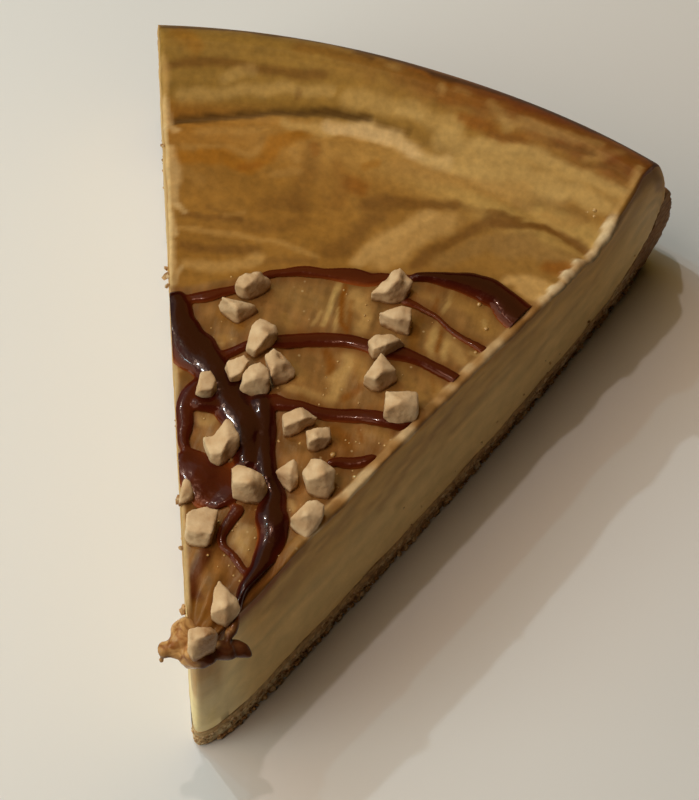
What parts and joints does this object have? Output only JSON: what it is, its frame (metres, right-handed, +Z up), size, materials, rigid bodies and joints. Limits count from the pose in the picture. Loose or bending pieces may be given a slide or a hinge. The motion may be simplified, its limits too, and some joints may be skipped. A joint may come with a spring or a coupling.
{
  "type": "salted caramel cheesecake slice",
  "caption": "Wedge of baked cheesecake: crumb base with a raised back, cream body with a browned rim, caramel drizzle and broken toffee on top.",
  "frame": {"origin": "middle of the slice's box, on the surface it stands on", "axes": "+Z up, +Y from the point of the slice towards its rim, +X to the right as seen from the point"},
  "size_m": [0.0898, 0.1182, 0.0411],
  "materials": {
    "crumb": "matte, coarse crumb",
    "cream": "satin baked cream with glossy caramel on top",
    "toffee": "matte, floury"
  },
  "bodies": {
    "root": {"crumb_base": "crumb", "cheesecake_body": "cream", "toffee_piece_01": "toffee", "toffee_piece_02": "toffee", "toffee_piece_03": "toffee", "toffee_piece_04": "toffee", "toffee_piece_05": "toffee", "toffee_piece_06": "toffee", "toffee_piece_07": "toffee", "toffee_piece_08": "toffee", "toffee_piece_09": "toffee", "toffee_piece_10": "toffee", "toffee_piece_11": "toffee", "toffee_piece_12": "toffee", "toffee_piece_13": "toffee", "toffee_piece_14": "toffee", "toffee_piece_15": "toffee", "toffee_piece_16": "toffee", "toffee_piece_17": "toffee", "toffee_piece_18": "toffee", "toffee_piece_19": "toffee", "toffee_piece_20": "toffee", "toffee_piece_21": "toffee", "toffee_piece_22": "toffee", "toffee_piece_23": "toffee"}
  },
  "joints": []
}
